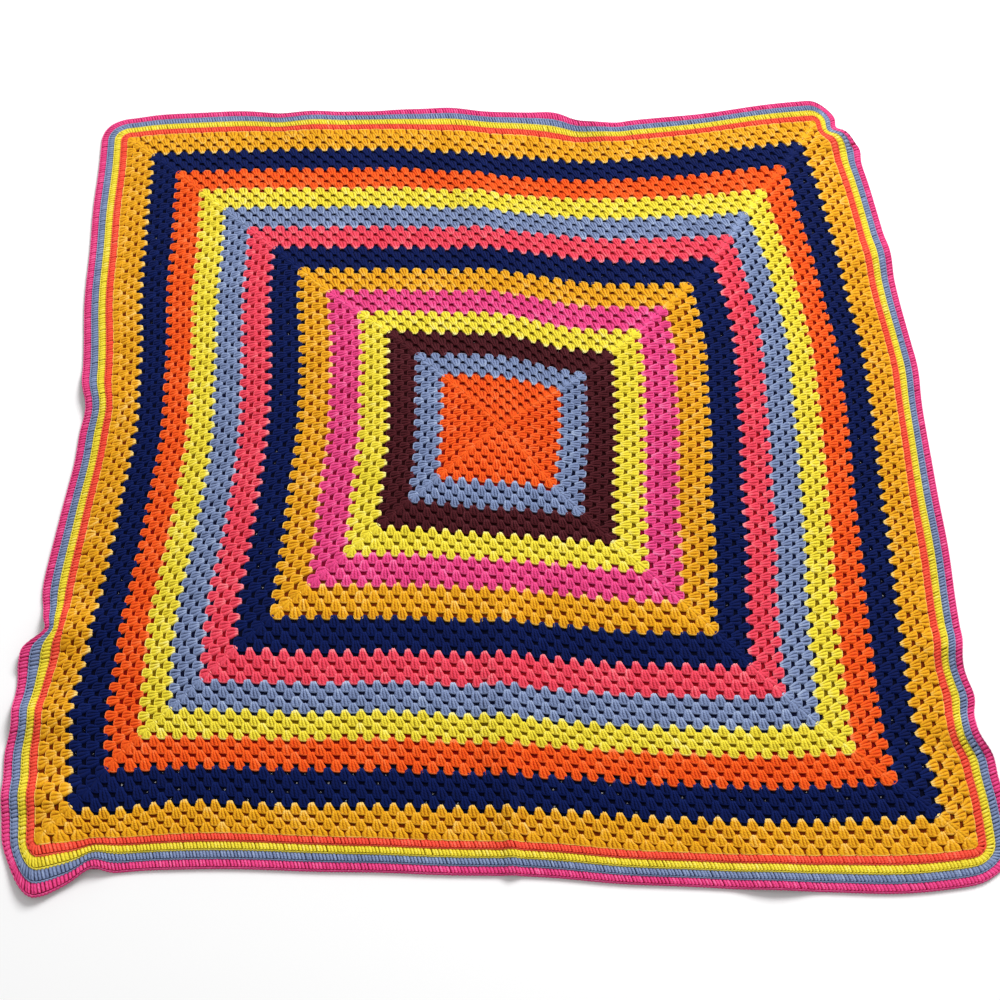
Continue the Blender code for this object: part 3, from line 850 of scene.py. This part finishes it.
def yarn_material(name, deep, bright, rim):
    """Soft plied yarn: colour by the stitches' tone, which paints shade in the grooves and highlights on
    the rims, a faint fleck, and the twist as relief.
    """
    material = bpy.data.materials.new(name + "_yarn")
    material.use_nodes = True
    tree = material.node_tree
    link = tree.links.new
    shader = tree.nodes["Principled BSDF"]
    shader.inputs["Roughness"].default_value = YARN_ROUGHNESS
    shader.inputs["Specular IOR Level"].default_value = YARN_SPECULAR
    shader.inputs["Sheen Weight"].default_value = YARN_SHEEN
    shader.inputs["Sheen Roughness"].default_value = YARN_SHEEN_ROUGHNESS

    tone = node(tree, "ShaderNodeAttribute", (-1100, 200), attribute_name="tone")
    place = node(tree, "ShaderNodeTexCoord", (-1500, -200))
    fleck = node(tree, "ShaderNodeTexNoise", (-1100, 0))
    fleck.inputs["Scale"].default_value = FLECK_SCALE
    fleck.inputs["Detail"].default_value = FLECK_DETAIL
    link(place.outputs["Object"], fleck.inputs["Vector"])
    blotch = node(tree, "ShaderNodeTexNoise", (-1100, -200))
    blotch.inputs["Scale"].default_value = BLOTCH_SCALE
    link(place.outputs["Object"], blotch.inputs["Vector"])
    fleck_part = node(tree, "ShaderNodeMath", (-900, 0), operation="MULTIPLY_ADD")
    fleck_part.inputs[1].default_value = FLECK_SHARE
    fleck_part.inputs[2].default_value = -FLECK_SHARE / 2
    link(fleck.outputs["Fac"], fleck_part.inputs[0])
    blotch_part = node(tree, "ShaderNodeMath", (-900, -200), operation="MULTIPLY_ADD")
    blotch_part.inputs[1].default_value = BLOTCH_SHARE
    blotch_part.inputs[2].default_value = -BLOTCH_SHARE / 2
    link(blotch.outputs["Fac"], blotch_part.inputs[0])
    both = node(tree, "ShaderNodeMath", (-700, -50), operation="ADD")
    link(fleck_part.outputs[0], both.inputs[0])
    link(blotch_part.outputs[0], both.inputs[1])
    amount = node(tree, "ShaderNodeMath", (-520, 120), operation="ADD")
    link(tone.outputs["Fac"], amount.inputs[0])
    link(both.outputs[0], amount.inputs[1])
    mix = node(tree, "ShaderNodeMix", (-320, 200), data_type="RGBA")
    mix.inputs["A"].default_value = linear(deep)
    mix.inputs["B"].default_value = linear(bright)
    link(amount.outputs[0], mix.inputs["Factor"])
    # Tones above 1 blend in the rim colour, a painted highlight
    highlight_share = node(tree, "ShaderNodeMapRange", (-320, 0))
    highlight_share.inputs["From Min"].default_value = 1.0
    highlight_share.inputs["From Max"].default_value = RIM_HIGHLIGHT_TONE
    link(amount.outputs[0], highlight_share.inputs["Value"])
    whole = node(tree, "ShaderNodeMix", (-140, 200), data_type="RGBA")
    whole.inputs["B"].default_value = linear(rim)
    link(highlight_share.outputs["Result"], whole.inputs["Factor"])
    link(mix.outputs["Result"], whole.inputs["A"])
    link(whole.outputs["Result"], shader.inputs["Base Color"])

    turned = node(tree, "ShaderNodeMapping", (-1100, -450))
    turned.inputs["Rotation"].default_value = (0.0, 0.0, math.radians(TWIST_DEGREES))
    link(place.outputs["UV"], turned.inputs["Vector"])
    twist = node(tree, "ShaderNodeTexWave", (-900, -450), wave_type="BANDS", bands_direction="X")
    twist.inputs["Scale"].default_value = TWIST_SCALE
    twist.inputs["Distortion"].default_value = TWIST_DISTORTION
    link(turned.outputs["Vector"], twist.inputs["Vector"])
    relief = node(tree, "ShaderNodeMath", (-650, -420), operation="MULTIPLY_ADD")
    relief.inputs[1].default_value = TWIST_SHARE
    link(twist.outputs["Fac"], relief.inputs[0])
    link(fleck.outputs["Fac"], relief.inputs[2])
    bump = node(tree, "ShaderNodeBump", (-320, -300))
    bump.inputs["Strength"].default_value = RELIEF_STRENGTH
    bump.inputs["Distance"].default_value = RELIEF_DEPTH
    link(relief.outputs[0], bump.inputs["Height"])
    link(bump.outputs["Normal"], shader.inputs["Normal"])
    return material


def shade_material(name, hole):
    """The painted shade of the same yarn seen deep between the stitches, with a faint fleck."""
    material = bpy.data.materials.new(name + "_shade")
    material.use_nodes = True
    tree = material.node_tree
    shader = tree.nodes["Principled BSDF"]
    shader.inputs["Roughness"].default_value = SHADE_ROUGHNESS
    shader.inputs["Specular IOR Level"].default_value = SHADE_SPECULAR
    place = node(tree, "ShaderNodeTexCoord", (-900, 0))
    fleck = node(tree, "ShaderNodeTexNoise", (-700, 0))
    fleck.inputs["Scale"].default_value = SHADE_FLECK_SCALE
    tree.links.new(place.outputs["Object"], fleck.inputs["Vector"])
    mix = node(tree, "ShaderNodeMix", (-320, 200), data_type="RGBA")
    full = linear(hole)
    mix.inputs["A"].default_value = tuple(part * SHADE_DARKEST for part in full[:3]) + (1.0,)
    mix.inputs["B"].default_value = full
    tree.links.new(fleck.outputs["Fac"], mix.inputs["Factor"])
    tree.links.new(mix.outputs["Result"], shader.inputs["Base Color"])
    return material


def aimed(place, forward, up):
    """A matrix that puts a camera or light at a place, looking along forward."""
    right = forward.cross(up).normalized()
    true_up = right.cross(forward)
    turn = Matrix((right, true_up, -forward)).transposed()
    return Matrix.Translation(place) @ turn.to_4x4()


def make_camera():
    """The camera that takes the photograph's view."""
    tilt = math.radians(CAMERA_TILT)
    flat = math.cos(tilt)
    forward = Vector((math.sin(CAMERA_YAW) * flat, math.cos(CAMERA_YAW) * flat, -math.sin(tilt)))
    right = Vector((math.cos(CAMERA_YAW), -math.sin(CAMERA_YAW), 0.0))
    up = right.cross(forward)
    rolled_up = math.cos(CAMERA_ROLL) * up - math.sin(CAMERA_ROLL) * right
    data = bpy.data.cameras.new("camera")
    data.sensor_width = CAMERA_SENSOR
    data.lens = CAMERA_LENS
    camera = bpy.data.objects.new("camera", data)
    bpy.context.scene.collection.objects.link(camera)
    place = Vector(CAMERA_PLACE) - Vector((CENTRE_X, CENTRE_Y, 0.0))
    camera.matrix_world = aimed(place, forward, rolled_up)
    bpy.context.scene.camera = camera


def make_lights():
    """The key light and the sky."""
    data = bpy.data.lights.new("key", "AREA")
    data.shape = "SQUARE"
    data.size = KEY_SIZE
    data.energy = KEY_POWER
    key = bpy.data.objects.new("key", data)
    bpy.context.scene.collection.objects.link(key)
    place = Vector(KEY_PLACE)
    key.matrix_world = aimed(place, (-place).normalized(), Vector((0, 0, 1)))
    world = bpy.data.worlds.new("studio")
    world.use_nodes = True
    sky = world.node_tree.nodes["Background"]
    sky.inputs["Color"].default_value = (1.0, 1.0, 1.0, 1.0)
    sky.inputs["Strength"].default_value = SKY_STRENGTH
    bpy.context.scene.world = world
    bpy.context.scene.view_settings.view_transform = "Standard"


def make_floor():
    """The plain pale floor that the afghan lies on."""
    half = FLOOR_SIZE / 2
    data = bpy.data.meshes.new("floor")
    corners = [(-half, -half, 0), (half, -half, 0), (half, half, 0), (-half, half, 0)]
    data.from_pydata(corners, [], [(0, 1, 2, 3)])
    material = bpy.data.materials.new("pale_floor")
    material.use_nodes = True
    shader = material.node_tree.nodes["Principled BSDF"]
    shader.inputs["Base Color"].default_value = FLOOR_COLOUR
    shader.inputs["Roughness"].default_value = FLOOR_ROUGHNESS
    data.materials.append(material)
    floor = bpy.data.objects.new("floor", data)
    bpy.context.scene.collection.objects.link(floor)
    return floor


make_camera()
make_lights()
floor = make_floor()

yarns = {}
shades = {}
for yarn in rows_of(YARN_COLUMNS, YARNS):
    yarns[yarn["yarn"]] = yarn_material(yarn["yarn"], yarn["deep"], yarn["bright"], yarn["rim"])
    shades[yarn["yarn"]] = shade_material(yarn["yarn"], yarn["hole"])

shade_sheet = make_shade_sheet(shades)
for band in rows_of(BAND_COLUMNS, BANDS):
    data = mesh_of(band["piece"], cluster_sweeps(band["first_round"], band["last_round"]))
    add_piece(data, yarns[band["yarn"]])
for number, edging in enumerate(rows_of(EDGING_COLUMNS, EDGINGS)):
    data = mesh_of(edging["piece"], edging_sweeps(number))
    add_piece(data, yarns[edging["yarn"]])

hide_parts("afghan")
